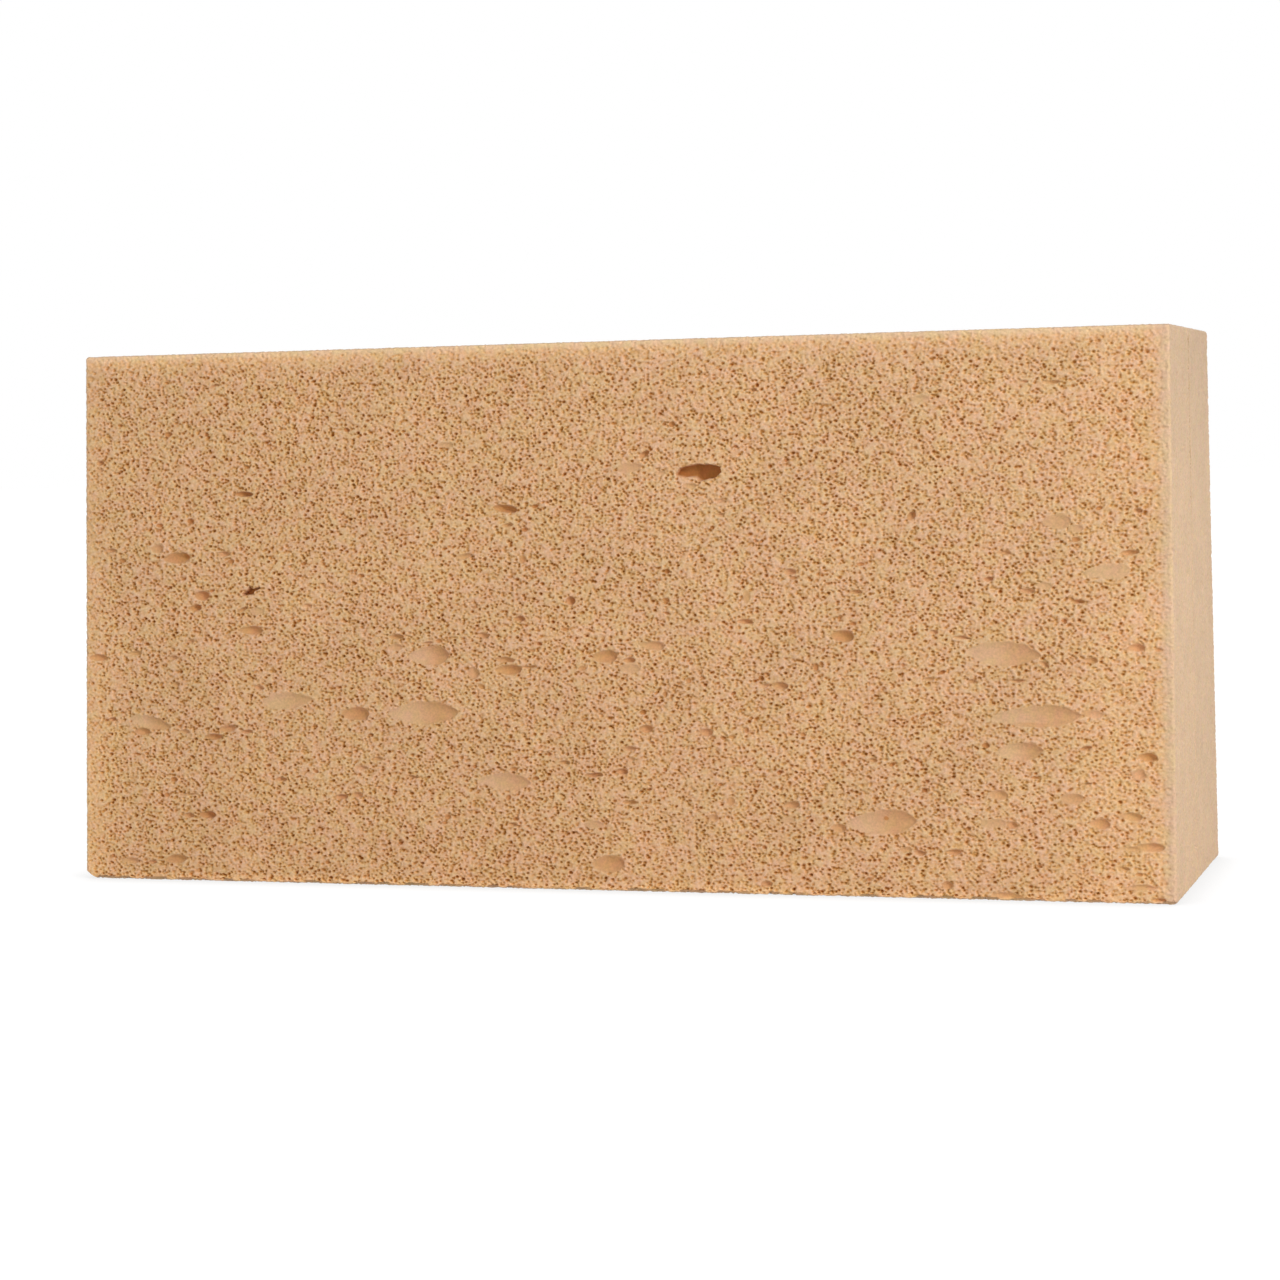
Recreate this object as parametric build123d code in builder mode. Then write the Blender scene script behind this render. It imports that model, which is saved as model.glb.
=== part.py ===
"""Sponge block of a grouting float: two slabs of open-pored foam laminated into one block.

The block stands on a long narrow side. +X runs along its length, +Z is up, and the working face,
which is wiped over the tiles, looks towards -Y. The origin is the middle of the face it stands on.
All sizes are in millimetres.
"""
from build123d import *
from math import sqrt
import os

# Block
LENGTH = 200.0
HEIGHT = 97.0
THICKNESS = 60.0
EDGE_RADIUS = 1.5

# Lamination, counted from the working face
FRONT_SLAB = 28.0
BOND_FILM = 0.3
REAR_SLAB = THICKNESS - FRONT_SLAB - BOND_FILM
FILM_SETBACK = 0.5

# Where each layer starts and ends along Y
FRONT_FACE_Y = -THICKNESS / 2
FILM_FRONT_Y = FRONT_FACE_Y + FRONT_SLAB
FILM_REAR_Y = FILM_FRONT_Y + BOND_FILM
REAR_FACE_Y = THICKNESS / 2

# Blow-holes: gas bubbles of the foaming that the saw cut open, most of them near their edge.
# Each is (x and z of its middle on the face, length of the mouth along X, height of the mouth, depth).
WORKING_FACE_HOLES = [
    (-81.0, 59.5, 5.0, 2.2, 1.0),
    (-66.5, 46.0, 4.5, 1.8, 0.8),
    (-17.5, 67.5, 4.5, 1.6, 0.7),
    (-31.5, 40.5, 7.5, 4.5, 1.3),
    (-33.5, 31.5, 13.5, 4.0, 1.4),
    (-47.0, 31.0, 6.0, 2.5, 1.0),
    (-59.0, 33.5, 10.0, 3.2, 0.9),
    (-87.0, 28.5, 7.5, 3.6, 1.1),
    (-18.0, 19.0, 10.5, 4.0, 1.3),
    (-16.5, 39.5, 4.0, 2.0, 0.9),
    (0.5, 41.0, 5.5, 3.2, 1.1),
    (44.0, 45.0, 5.0, 2.2, 1.0),
    (1.0, 5.0, 7.0, 4.0, 1.3),
    (50.0, 12.5, 11.5, 5.0, 1.5),
    (72.0, 41.5, 12.5, 4.6, 1.4),
    (76.5, 31.0, 15.5, 4.2, 1.5),
    (74.5, 24.0, 8.0, 3.2, 1.2),
    (89.0, 55.5, 7.5, 3.0, 1.0),
    (80.5, 64.0, 5.0, 2.4, 0.8),
    (92.5, 13.5, 4.0, 2.2, 0.9),
    (-77.0, 12.0, 5.0, 2.2, 1.0),
    (-83.5, 5.0, 5.5, 2.4, 1.0),
]
REAR_FACE_HOLES = [
    (-70.0, 62.0, 9.0, 3.4, 1.2),
    (-48.0, 24.0, 12.5, 4.4, 1.4),
    (-30.0, 78.0, 5.0, 2.2, 0.9),
    (-8.0, 36.0, 7.5, 3.2, 1.2),
    (12.0, 14.0, 10.0, 3.8, 1.3),
    (27.0, 55.0, 5.5, 2.2, 1.0),
    (41.0, 29.0, 13.0, 4.2, 1.4),
    (62.0, 70.0, 6.0, 2.6, 1.1),
    (70.0, 17.0, 8.0, 3.4, 1.2),
    (84.0, 44.0, 7.0, 3.0, 1.1),
]

# Deep blow-holes, cut through their middle, with steep walls. Sizes as above.
WORKING_FACE_DEEP_HOLES = [
    (18.5, 73.5, 8.0, 2.8, 3.2),
    (-66.0, 53.0, 3.2, 1.6, 1.8),
]
REAR_FACE_DEEP_HOLES = [
    (-20.0, 57.0, 6.5, 2.6, 3.0),
]

os.makedirs("parts", exist_ok=True)


def blow_hole(x, z, length, mouth, depth, face_y, outward):
    """The spheroid that leaves a lens-shaped blow-hole of this mouth and depth in the face at face_y,
    where outward is -1 or 1 along Y. Its long axis stands outside the face by lift."""
    radius = ((mouth / 2) ** 2 + depth**2) / (2 * depth)
    lift = radius - depth
    half_length = (length / 2) / sqrt(1 - (lift / radius) ** 2)
    axis_y = face_y + outward * lift
    with BuildPart() as bubble:
        with BuildSketch(Plane.XY.offset(z)):
            with BuildLine():
                half_ellipse = EllipticalCenterArc(
                    (x, axis_y), half_length, radius, start_angle=90 - 90 * outward, arc_size=180
                )
                Line(half_ellipse @ 1, half_ellipse @ 0)
            make_face()
        revolve(axis=Axis((x, axis_y, z), (1, 0, 0)))
    return bubble.part


def slab_outline(setback=0.0):
    """The block's long outline in X and Z, drawn on an XZ plane, less setback all round."""
    with Locations((0, HEIGHT / 2)):
        RectangleRounded(LENGTH - 2 * setback, HEIGHT - 2 * setback, EDGE_RADIUS)


working_face_bubbles = [blow_hole(*hole, FRONT_FACE_Y, -1) for hole in WORKING_FACE_HOLES]
rear_face_bubbles = [blow_hole(*hole, REAR_FACE_Y, 1) for hole in REAR_FACE_HOLES]

# Front slab: its outer face is the working face
with BuildPart() as front_foam_slab:
    with BuildSketch(Plane.XZ.offset(-FILM_FRONT_Y)):
        slab_outline()
    extrude(amount=FRONT_SLAB)
    working_face = front_foam_slab.faces().sort_by(Axis.Y)[0]
    fillet(working_face.edges(), EDGE_RADIUS)
    add(working_face_bubbles, mode=Mode.SUBTRACT)
    for x, z, length, mouth, depth in WORKING_FACE_DEEP_HOLES:
        with BuildSketch(Plane.XZ.offset(-FRONT_FACE_Y)):
            with Locations((x, z)):
                Ellipse(length / 2, mouth / 2)
        extrude(amount=-depth, mode=Mode.SUBTRACT)
front_foam_slab.part.label = "front_foam_slab"

# Rear slab: the same foam, and the face that a float's backing plate would hold
with BuildPart() as rear_foam_slab:
    with BuildSketch(Plane.XZ.offset(-REAR_FACE_Y)):
        slab_outline()
    extrude(amount=REAR_SLAB)
    rear_face = rear_foam_slab.faces().sort_by(Axis.Y)[-1]
    fillet(rear_face.edges(), EDGE_RADIUS)
    add(rear_face_bubbles, mode=Mode.SUBTRACT)
    for x, z, length, mouth, depth in REAR_FACE_DEEP_HOLES:
        with BuildSketch(Plane.XZ.offset(-REAR_FACE_Y)):
            with Locations((x, z)):
                Ellipse(length / 2, mouth / 2)
        extrude(amount=depth, mode=Mode.SUBTRACT)
rear_foam_slab.part.label = "rear_foam_slab"

# Bond film: set back from the cut faces, so the joint reads as a fine groove round the block
with BuildPart() as bond_film:
    with BuildSketch(Plane.XZ.offset(-FILM_REAR_Y)):
        slab_outline(FILM_SETBACK)
    extrude(amount=BOND_FILM)
bond_film.part.label = "bond_film"

for piece in (front_foam_slab, rear_foam_slab, bond_film):
    export_step(piece.part, f"parts/{piece.part.label}.step")
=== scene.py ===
"""Looks of the grouting sponge block: two slabs of open-pored foam with a film of adhesive between them.

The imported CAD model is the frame. The foam slabs and the film are modelled here as meshes that stand for
the CAD nodes: a fine grid over each slab, pushed inwards where the saw cut the foam's bubbles open.
Shapes are worked out in millimetres and scaled to metres when a mesh is made.
"""

import itertools
import math

import bpy
import numpy as np
from mathutils import Euler, Matrix, Vector


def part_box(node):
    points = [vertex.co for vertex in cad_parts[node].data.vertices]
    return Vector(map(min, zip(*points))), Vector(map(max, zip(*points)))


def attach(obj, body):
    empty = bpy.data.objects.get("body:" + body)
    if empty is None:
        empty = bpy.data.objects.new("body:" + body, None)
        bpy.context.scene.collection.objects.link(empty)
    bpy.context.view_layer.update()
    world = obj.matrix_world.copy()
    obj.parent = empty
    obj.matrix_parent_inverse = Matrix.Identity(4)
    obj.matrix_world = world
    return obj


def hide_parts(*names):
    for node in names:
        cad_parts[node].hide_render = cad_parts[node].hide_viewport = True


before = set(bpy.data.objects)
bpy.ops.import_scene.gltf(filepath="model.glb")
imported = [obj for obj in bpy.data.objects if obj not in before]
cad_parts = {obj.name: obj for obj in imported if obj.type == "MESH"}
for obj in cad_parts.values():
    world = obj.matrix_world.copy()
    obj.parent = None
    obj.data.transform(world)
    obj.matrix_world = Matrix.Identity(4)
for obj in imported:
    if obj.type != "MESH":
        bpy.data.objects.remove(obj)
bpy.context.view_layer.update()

MM = 0.001
SEED = 20817

# ---------------------------------------------------------------- block, from the CAD boxes, in mm
front_low, front_high = (np.array(corner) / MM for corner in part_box("front_foam_slab"))
rear_low, rear_high = (np.array(corner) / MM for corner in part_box("rear_foam_slab"))
film_low, film_high = (np.array(corner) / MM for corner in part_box("bond_film"))
LENGTH = front_high[0] - front_low[0]
HEIGHT = front_high[2] - front_low[2]
HALF = LENGTH / 2
FRONT_Y = front_low[1]
REAR_Y = rear_high[1]
EDGE_RADIUS = 0.65
GLUE_EDGE = 0.25  # bevel of each slab's rim at the glue
INNER_RING = 0.97  # size of the slab's hidden flat cap, as a share of the slab's outline
FILM_CLEARANCE = 0.01  # between the film's mesh and each slab
FILM_NEAREST = 0.12  # how near the film's edge comes to the sawn sides

# The block is sawn a little out of square: how far its ends lean, and its top falls, from the square box
LEAN_LEFT = 1.66
LEAN_RIGHT_FRONT = 0.20
LEAN_RIGHT_REAR = 0.68
TOP_FALL = 0.26
# Its bottom left corner is torn off at the sawn face: how far along the bottom, up the end, and back
TORN_CORNER = (2.3, 1.6)
TORN_BACK = 12.0

# How far apart the foam meshes' points are on the sawn faces, in mm
FRONT_GRID = 0.15
REAR_GRID = 0.22
DEPTH_STEP = 1.4  # the steps inwards from those faces, against the steps along them
POINTS_AT_ONCE = 150000  # how many the foam is worked out for at once, to spare memory
# Steps round the film's edge, along the block and up it
FILM_STEPS_ALONG = 500
FILM_STEPS_UP = 240

# ---------------------------------------------------------------- foam
# The bubbles sit one in each cell of a grid that is turned away from the block's axes, so that no sawn face
# shows the grid's rows. Their offsets, radii and depths come from a table that repeats every TABLE cells.
CELL = 0.70
TABLE = 64
STRETCH = (1.10, 1.0, 0.80)
FLATTEN = 0.55  # how much less a bubble's distance counts along the cut's normal
EMPTY_SHARE = 0.05
SIDE_PORES = 0.50  # depth of the narrow sides' pores, as a share of the working face's
EDGE_BAND = 5.5  # how far in from an edge the saw closed the pores
GLUE_SOAK = 0.45  # how far from the glue the foam is darkened
GRID_TURN = np.array(Euler((1.02, 0.31, 0.55)).to_matrix(), np.float32)
rng = np.random.default_rng(SEED)
bubble_offset = rng.uniform(0.12, 0.88, (TABLE, TABLE, TABLE, 3)).astype(np.float32)
bubble_radius = (0.26 + 0.18 * rng.beta(2.0, 2.5, (TABLE,) * 3)).astype(np.float32)
bubble_depth = (bubble_radius * (0.5 + 2.3 * rng.beta(1.4, 2.0, (TABLE,) * 3))).astype(np.float32)
bubble_depth[rng.uniform(size=(TABLE,) * 3) < EMPTY_SHARE] = 0.0

NOISE_TABLE = 32
noise_table = rng.uniform(-1.0, 1.0, (NOISE_TABLE,) * 3).astype(np.float32)


def noise(points, size):
    """Smooth noise from -1 to 1 at points, with lumps of about that size."""
    cell = np.floor(points / size).astype(np.int64)
    part = (points / size - cell).astype(np.float32)
    part = part * part * (3 - 2 * part)
    total = np.zeros(len(points), np.float32)
    for corner in itertools.product((0, 1), repeat=3):
        weight = np.ones(len(points), np.float32)
        for axis in range(3):
            weight *= part[:, axis] if corner[axis] else 1 - part[:, axis]
        index = (cell + corner) % NOISE_TABLE
        total += weight * noise_table[index[:, 0], index[:, 1], index[:, 2]]
    return total


def rise(value, start, width):
    """0 up to start, then rising smoothly to 1 over width."""
    share = np.clip((value - start) / width, 0, 1)
    return share * share * (3 - 2 * share)


def fade(value, start, width):
    """1 up to start, then falling smoothly to 0 over width."""
    return 1 - rise(value, start, width)


def pore_depth(points, inward):
    """Depth of the pores at points: each bubble that the cut meets leaves a rounded pit."""
    place = (points / STRETCH / CELL).astype(np.float32) @ GRID_TURN.T
    inward = inward @ GRID_TURN.T
    cell = np.floor(place).astype(np.int32)
    part = place - cell
    deepest = np.zeros(len(points), np.float32)
    for step in itertools.product((-1, 0, 1), repeat=3):
        i, j, k = ((cell[:, axis] + step[axis]) % TABLE for axis in range(3))
        away = part - bubble_offset[i, j, k] - np.array(step, np.float32)
        across = np.einsum("ij,ij->i", away, away) - FLATTEN * np.einsum("ij,ij->i", away, inward) ** 2
        bowl = 1 - across * (CELL / bubble_radius[i, j, k]) ** 2
        deepest = np.maximum(deepest, bubble_depth[i, j, k] * np.maximum(bowl, 0) ** 1.3)
    return deepest


# Blow-holes of the front face: x and z of the middle, length, height, depth, how far the long axis is turned
# in degrees, and where along it the hole is widest, from -1 to 1. Those shorter than SMALL_HOLE have rounder
# ends and more painted shade on their skin, and those shorter than DOT are shallow and painted darkest.
SMALL_HOLE = 7.0
DOT = 1.6
FRONT_HOLES = [
    # Left third, from the top down
    (-72.5, 90.5, 2.0, 0.5, 1.0, 20, 0.0), (-81.9, 82.0, 1.5, 1.1, 1.4, 0, 0.0),
    (-95.8, 77.0, 1.6, 0.9, 1.3, 0, 0.0), (-96.0, 75.7, 1.8, 0.8, 0.7, 0, 0.0),
    (-77.9, 66.1, 1.4, 1.1, 1.7, 0, 0.0), (-84.2, 65.4, 1.5, 0.9, 1.3, 0, 0.0),
    (-67.3, 70.8, 3.8, 1.1, 1.9, -3, 0.1), (-64.4, 71.7, 1.6, 0.7, 0.8, 50, 0.0),
    (-84.8, 61.1, 2.4, 1.7, 0.8, 0, 0.4), (-94.2, 60.9, 2.2, 0.8, 1.0, 0, 0.0),
    (-80.9, 59.4, 5.2, 2.2, 1.4, 3, 0.2), (-79.3, 59.7, 1.4, 1.1, 1.7, 0, 0.0),
    (-71.5, 60.0, 2.2, 1.0, 1.1, 0, 0.0), (-70.2, 58.6, 1.5, 0.9, 1.2, 0, 0.0),
    (-91.9, 59.0, 1.5, 0.9, 1.2, 0, 0.0), (-76.2, 52.5, 2.7, 1.9, 1.5, 0, 0.3),
    (-77.5, 50.2, 2.4, 1.4, 1.7, 8, 0.3), (-68.1, 49.9, 2.4, 0.7, 1.2, 28, 0.0),
    (-65.2, 49.5, 2.6, 1.5, 0.4, 0, 0.0), (-55.3, 50.6, 1.9, 0.7, 0.9, 0, 0.0),
    (-66.6, 46.1, 4.6, 1.8, 1.25, -3, 0.35), (-78.7, 44.1, 1.6, 0.9, 0.9, 0, 0.0),
    (-90.0, 41.9, 2.6, 1.0, 0.9, 0, 0.2), (-97.3, 41.0, 3.8, 1.3, 1.2, -2, -0.2),
    (-82.2, 41.1, 1.8, 1.0, 0.9, 0, 0.0), (-81.9, 36.2, 1.8, 1.0, 1.0, 0, 0.0),
    (-65.4, 35.7, 2.2, 1.0, 1.0, -8, 0.3), (-59.6, 33.3, 9.8, 3.1, 0.65, 4, -0.45),
    (-95.0, 29.6, 1.6, 0.9, 1.3, 0, 0.0), (-87.3, 29.1, 8.4, 2.6, 1.0, -12, -0.1),
    (-88.9, 27.4, 3.2, 1.5, 1.2, 0, 0.2), (-71.9, 28.1, 3.5, 1.4, 1.1, 5, 0.3),
    (-74.8, 26.6, 3.4, 1.3, 1.4, 0, 0.2), (-68.0, 27.6, 2.4, 0.9, 1.1, 0, 0.0),
    (-80.6, 27.5, 2.2, 0.8, 0.8, 0, 0.0), (-82.8, 18.6, 1.4, 1.0, 1.5, 0, 0.0),
    (-61.4, 18.9, 2.0, 0.9, 1.3, 0, 0.0), (-80.2, 15.9, 3.6, 0.5, 0.8, 6, 0.0),
    (-80.0, 12.0, 2.2, 1.2, 1.2, 0, 0.0), (-76.4, 12.2, 3.4, 1.6, 1.65, -4, 0.3),
    (-92.4, 3.3, 3.6, 1.3, 0.7, 0, 0.3), (-87.7, 3.1, 1.8, 0.8, 1.0, 0, 0.0),
    (-83.2, 3.8, 4.6, 1.7, 1.1, 5, 0.4),
    # Middle third
    (28.6, 87.3, 1.6, 0.8, 1.3, 0, 0.0), (-46.8, 82.1, 1.2, 0.9, 1.8, 0, 0.0),
    (14.0, 81.8, 1.2, 1.0, 1.4, 0, 0.0), (11.7, 73.4, 2.2, 0.9, 0.5, 0, 0.0),
    (16.8, 71.0, 2.6, 1.1, 0.6, 0, 0.1), (-11.4, 67.9, 1.2, 0.8, 1.7, 0, 0.0),
    (-13.5, 63.8, 1.3, 0.8, 1.3, 0, 0.0), (22.5, 68.4, 1.8, 0.8, 0.7, 0, 0.0),
    (-28.0, 79.0, 3.2, 1.2, 0.5, 0, 0.1), (8.9, 76.6, 2.0, 1.1, 1.5, 32, 0.0),
    (6.1, 74.4, 4.5, 1.9, 0.5, 4, -0.1), (-17.1, 67.6, 4.5, 1.5, 1.8, -6, 0.4),
    (-16.6, 64.7, 2.0, 0.7, 1.0, 0, 0.1), (22.3, 66.1, 2.0, 0.6, 0.9, 0, 0.0),
    (-25.0, 59.2, 3.4, 1.0, 0.8, 14, 0.0), (-14.0, 58.6, 1.3, 1.6, 0.9, 0, 0.0),
    (12.6, 56.2, 1.0, 0.9, 1.9, 0, 0.0), (-5.2, 51.2, 1.7, 1.6, 1.7, 0, 0.1),
    (12.3, 51.2, 1.4, 1.0, 1.3, 0, 0.0), (26.8, 51.7, 1.4, 2.4, 0.5, 0, 0.0),
    (-14.9, 48.0, 2.1, 1.1, 1.4, 0, 0.2), (26.5, 47.4, 3.0, 1.0, 1.3, -3, 0.2),
    (-6.3, 46.2, 1.5, 0.7, 1.1, 0, 0.0), (-38.3, 44.9, 2.8, 1.0, 1.2, -3, 0.2),
    (-21.7, 45.1, 2.0, 1.1, 1.1, -10, 0.2), (-30.1, 44.1, 1.2, 0.8, 1.2, 0, 0.0),
    (-32.3, 43.8, 2.4, 0.5, 0.8, 0, 0.0), (-38.5, 43.0, 2.6, 1.3, 0.6, 0, 0.0),
    (-32.2, 41.5, 8.0, 3.7, 1.2, 3, 0.3), (-17.8, 40.8, 3.8, 1.1, 1.1, -4, 0.0),
    (-12.6, 42.4, 1.4, 0.6, 0.9, 0, 0.0), (-17.2, 39.0, 4.9, 1.9, 1.3, 2, 0.3),
    (-13.3, 39.5, 3.2, 0.6, 1.1, 0, 0.0), (-23.8, 38.4, 2.2, 2.5, 0.8, 0, 0.2),
    (-3.3, 39.3, 1.5, 0.9, 0.8, 0, 0.0), (0.9, 41.4, 4.6, 2.5, 1.2, 0, 0.3),
    (5.4, 40.8, 2.2, 1.1, 1.3, 0, 0.2), (9.5, 43.3, 4.6, 1.6, 0.8, -4, 0.4),
    (5.5, 39.3, 4.0, 1.7, 0.4, 0, 0.1), (29.2, 37.6, 0.9, 0.9, 2.0, 0, 0.0),
    (16.2, 37.2, 1.0, 1.2, 1.0, 0, 0.0), (-22.2, 36.0, 1.4, 0.9, 1.0, -30, 0.0),
    (32.4, 36.4, 3.2, 1.4, 1.2, -5, 0.2), (29.7, 36.4, 1.6, 0.9, 0.8, 0, 0.0),
    (-16.9, 34.5, 1.2, 0.8, 1.1, 0, 0.0), (11.8, 34.8, 0.9, 1.4, 1.1, 0, 0.0),
    (7.8, 31.6, 1.2, 1.1, 1.6, 0, 0.0), (-46.6, 31.0, 5.4, 2.6, 1.2, 0, 0.3),
    (-33.5, 31.2, 13.5, 4.3, 1.1, 2, 0.1), (8.1, 28.7, 2.6, 1.6, 1.3, 0, 0.2),
    (19.1, 28.2, 2.7, 1.5, 1.1, 0, 0.1), (20.3, 27.2, 1.2, 0.9, 1.0, 0, 0.0),
    (23.8, 27.4, 1.4, 0.8, 1.0, 0, 0.0), (26.5, 28.6, 0.9, 1.3, 1.1, 0, 0.0),
    (4.9, 25.2, 3.3, 0.9, 0.9, 0, 0.1), (5.4, 23.2, 1.6, 0.9, 0.7, 0, 0.0),
    (-42.5, 22.8, 1.8, 0.9, 1.0, 0, 0.0), (-7.0, 22.6, 2.3, 0.9, 1.1, 0, 0.1),
    (-45.6, 21.2, 2.6, 0.8, 0.8, 0, 0.0), (32.1, 21.4, 0.9, 0.8, 1.8, 0, 0.0),
    (-1.6, 20.4, 3.4, 0.9, 1.3, 3, 0.2), (3.5, 21.0, 2.5, 1.2, 1.4, 0, 0.3),
    (-35.9, 19.7, 2.2, 0.6, 1.1, -8, 0.0), (-18.2, 19.0, 9.6, 3.3, 0.7, -2, 0.1),
    (-16.6, 21.4, 1.5, 0.9, 1.1, 0, 0.0), (-17.6, 16.2, 1.0, 1.2, 1.1, 0, 0.0),
    (-49.8, 15.9, 2.5, 1.0, 1.3, 0, 0.1), (-46.7, 16.3, 2.5, 1.1, 1.0, 0, 0.2),
    (4.9, 15.7, 2.7, 0.8, 1.2, 0, 0.2), (23.3, 16.2, 1.4, 1.7, 0.7, 0, 0.0),
    (34.1, 15.7, 3.2, 1.4, 1.0, 4, 0.2), (20.2, 13.1, 1.7, 1.4, 0.8, 0, 0.0),
    (33.5, 13.0, 2.8, 1.0, 0.3, 0, 0.0), (-29.3, 12.6, 1.3, 1.1, 1.1, 0, 0.0),
    (-29.8, 11.5, 1.2, 0.7, 1.1, 0, 0.0), (-1.8, 11.6, 3.6, 1.5, 0.4, 0, 0.1),
    (-16.9, 11.4, 1.6, 0.8, 1.1, 0, 0.0), (-38.4, 7.7, 0.9, 0.8, 2.0, 0, 0.0),
    (0.8, 4.7, 5.9, 3.2, 1.0, 3, 0.2), (29.6, 1.8, 2.0, 1.1, 1.1, 0, 0.0),
    # Right third
    (80.0, 87.4, 3.2, 0.8, 0.9, 0, 0.1), (75.5, 87.6, 1.8, 0.6, 0.8, 0, 0.0),
    (57.8, 85.1, 3.4, 1.3, 0.3, 0, 0.0), (94.3, 65.8, 1.7, 0.9, 1.2, 0, 0.0),
    (56.0, 65.4, 1.9, 1.2, 1.4, 40, 0.0), (80.7, 64.1, 4.8, 2.6, 0.5, 0, 0.2),
    (83.9, 62.9, 2.6, 1.4, 0.4, 0, 0.1), (83.9, 61.1, 1.5, 1.0, 1.1, 0, 0.0),
    (71.8, 58.9, 2.4, 0.8, 1.0, 0, 0.0), (92.9, 58.8, 3.4, 0.9, 1.2, 4, -0.1),
    (47.1, 57.3, 1.5, 0.7, 1.1, 0, 0.0), (34.7, 56.0, 2.2, 1.3, 1.1, 0, 0.0),
    (35.3, 54.9, 1.4, 0.7, 1.0, 0, 0.0), (89.0, 55.7, 8.0, 2.7, 0.2, 3, 0.3),
    (69.1, 54.6, 1.6, 0.9, 1.4, 0, 0.0), (75.6, 52.5, 2.6, 1.0, 1.0, -6, 0.1),
    (78.5, 53.3, 2.8, 1.3, 0.4, 0, 0.0), (46.1, 52.4, 2.4, 0.9, 1.1, 3, 0.2),
    (84.1, 50.7, 2.4, 0.8, 1.4, -3, 0.2), (81.8, 47.6, 1.0, 0.7, 1.6, 0, 0.0),
    (45.5, 47.0, 1.3, 0.8, 1.2, 0, 0.0), (43.7, 44.9, 4.2, 2.2, 1.4, -3, 0.3),
    (59.6, 45.5, 1.6, 0.9, 1.0, 0, 0.0), (64.5, 44.6, 3.4, 0.6, 1.1, -4, 0.0),
    (93.8, 42.9, 3.0, 1.4, 1.1, 0, 0.2), (97.4, 42.6, 1.3, 0.7, 0.9, 0, 0.0),
    (71.5, 41.9, 12.6, 4.4, 0.9, -2, 0.0), (86.3, 40.8, 2.0, 1.1, 1.1, 0, 0.2),
    (78.3, 40.2, 1.9, 0.9, 1.1, -35, 0.0), (38.9, 39.6, 1.2, 1.5, 1.2, 0, 0.0),
    (40.0, 40.1, 0.9, 0.8, 1.2, 0, 0.0), (73.6, 37.4, 2.6, 0.6, 1.1, 0, 0.0),
    (66.0, 37.3, 1.8, 0.8, 1.0, 0, 0.0), (58.6, 37.6, 2.0, 0.8, 0.9, 0, 0.0),
    (76.9, 31.3, 15.4, 3.9, 0.9, 2, 0.2), (86.4, 31.8, 3.6, 1.6, 0.5, -6, 0.1),
    (36.5, 27.9, 1.2, 0.9, 1.1, 0, 0.0), (68.3, 26.4, 1.3, 1.0, 1.4, 0, 0.0),
    (85.2, 26.0, 2.2, 0.6, 1.2, 8, 0.0), (74.0, 25.3, 8.2, 3.2, 1.0, 3, 0.1),
    (48.7, 23.6, 1.6, 0.9, 1.1, 0, 0.0), (43.5, 23.0, 1.2, 1.0, 1.3, 0, 0.0),
    (95.5, 24.6, 3.3, 1.5, 1.4, -6, 0.2), (94.0, 21.6, 2.4, 2.1, 0.7, 0, 0.2),
    (76.6, 20.9, 1.5, 0.6, 1.3, 0, 0.0), (85.2, 20.0, 2.4, 0.4, 1.0, 0, 0.0),
    (58.0, 20.2, 0.8, 0.7, 1.6, 0, 0.0), (57.7, 18.5, 1.1, 0.8, 1.8, 0, 0.0),
    (70.3, 17.9, 3.3, 1.9, 0.8, -6, 0.3), (82.7, 17.4, 3.8, 2.1, 0.7, 0, 0.3),
    (87.3, 13.3, 3.5, 1.9, 1.0, 0, 0.3), (92.8, 14.6, 3.8, 1.5, 0.9, -5, 0.3),
    (69.4, 13.1, 4.2, 1.7, 0.4, 0, 0.1), (72.6, 12.8, 2.0, 1.4, 1.1, 0, 0.0),
    (42.6, 11.8, 2.8, 1.5, 1.0, 0, 0.1), (49.9, 12.9, 12.4, 4.4, 1.0, 4, 0.25),
    (95.7, 9.4, 5.2, 1.7, 0.9, 2, 0.4), (92.6, 9.1, 3.4, 0.9, 0.6, 0, 0.2),
    (56.6, 7.8, 2.0, 1.0, 1.1, -8, 0.1), (54.3, 8.2, 2.0, 0.9, 0.5, 0, 0.0),
    (62.4, 8.0, 3.0, 0.9, 1.1, 0, 0.2), (91.4, 5.8, 2.0, 0.7, 1.0, -10, 0.0),
    (94.0, 4.9, 1.5, 0.7, 1.0, 0, 0.0), (61.4, 2.3, 1.8, 1.6, 1.1, 0, 0.0),
    (94.0, 2.6, 6.0, 1.0, 0.6, 2, 0.1), (71.5, 0.7, 5.5, 1.4, 0.8, 0, 0.0),
    (97.2, 0.6, 2.4, 0.8, 1.2, 0, 0.0),
]
# Steep-walled blow-holes: roof and floor, each a line of x and z, then depth along x, and the painted shade
# of the skin
CLEFTS = [
    (
        [(14.5, 73.0), (15.3, 74.2), (18.2, 74.8), (21.0, 74.7), (22.4, 74.2), (22.7, 73.4)],
        [(14.5, 73.0), (16.2, 72.6), (17.9, 72.7), (18.9, 71.9), (21.6, 72.5), (22.7, 73.4)],
        [(14.5, 1.7), (17.8, 1.9), (18.8, 2.6), (22.7, 2.6)],
        0.62,
    ),
    (
        [(-68.2, 52.7), (-67.1, 53.4), (-66.6, 54.3), (-66.2, 53.7), (-64.5, 53.95)],
        [(-68.2, 52.6), (-67.5, 52.4), (-65.9, 52.7), (-65.6, 53.3), (-64.5, 53.65)],
        [(-68.2, 2.0), (-64.5, 1.6)],
        0.68,
    ),
]

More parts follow.
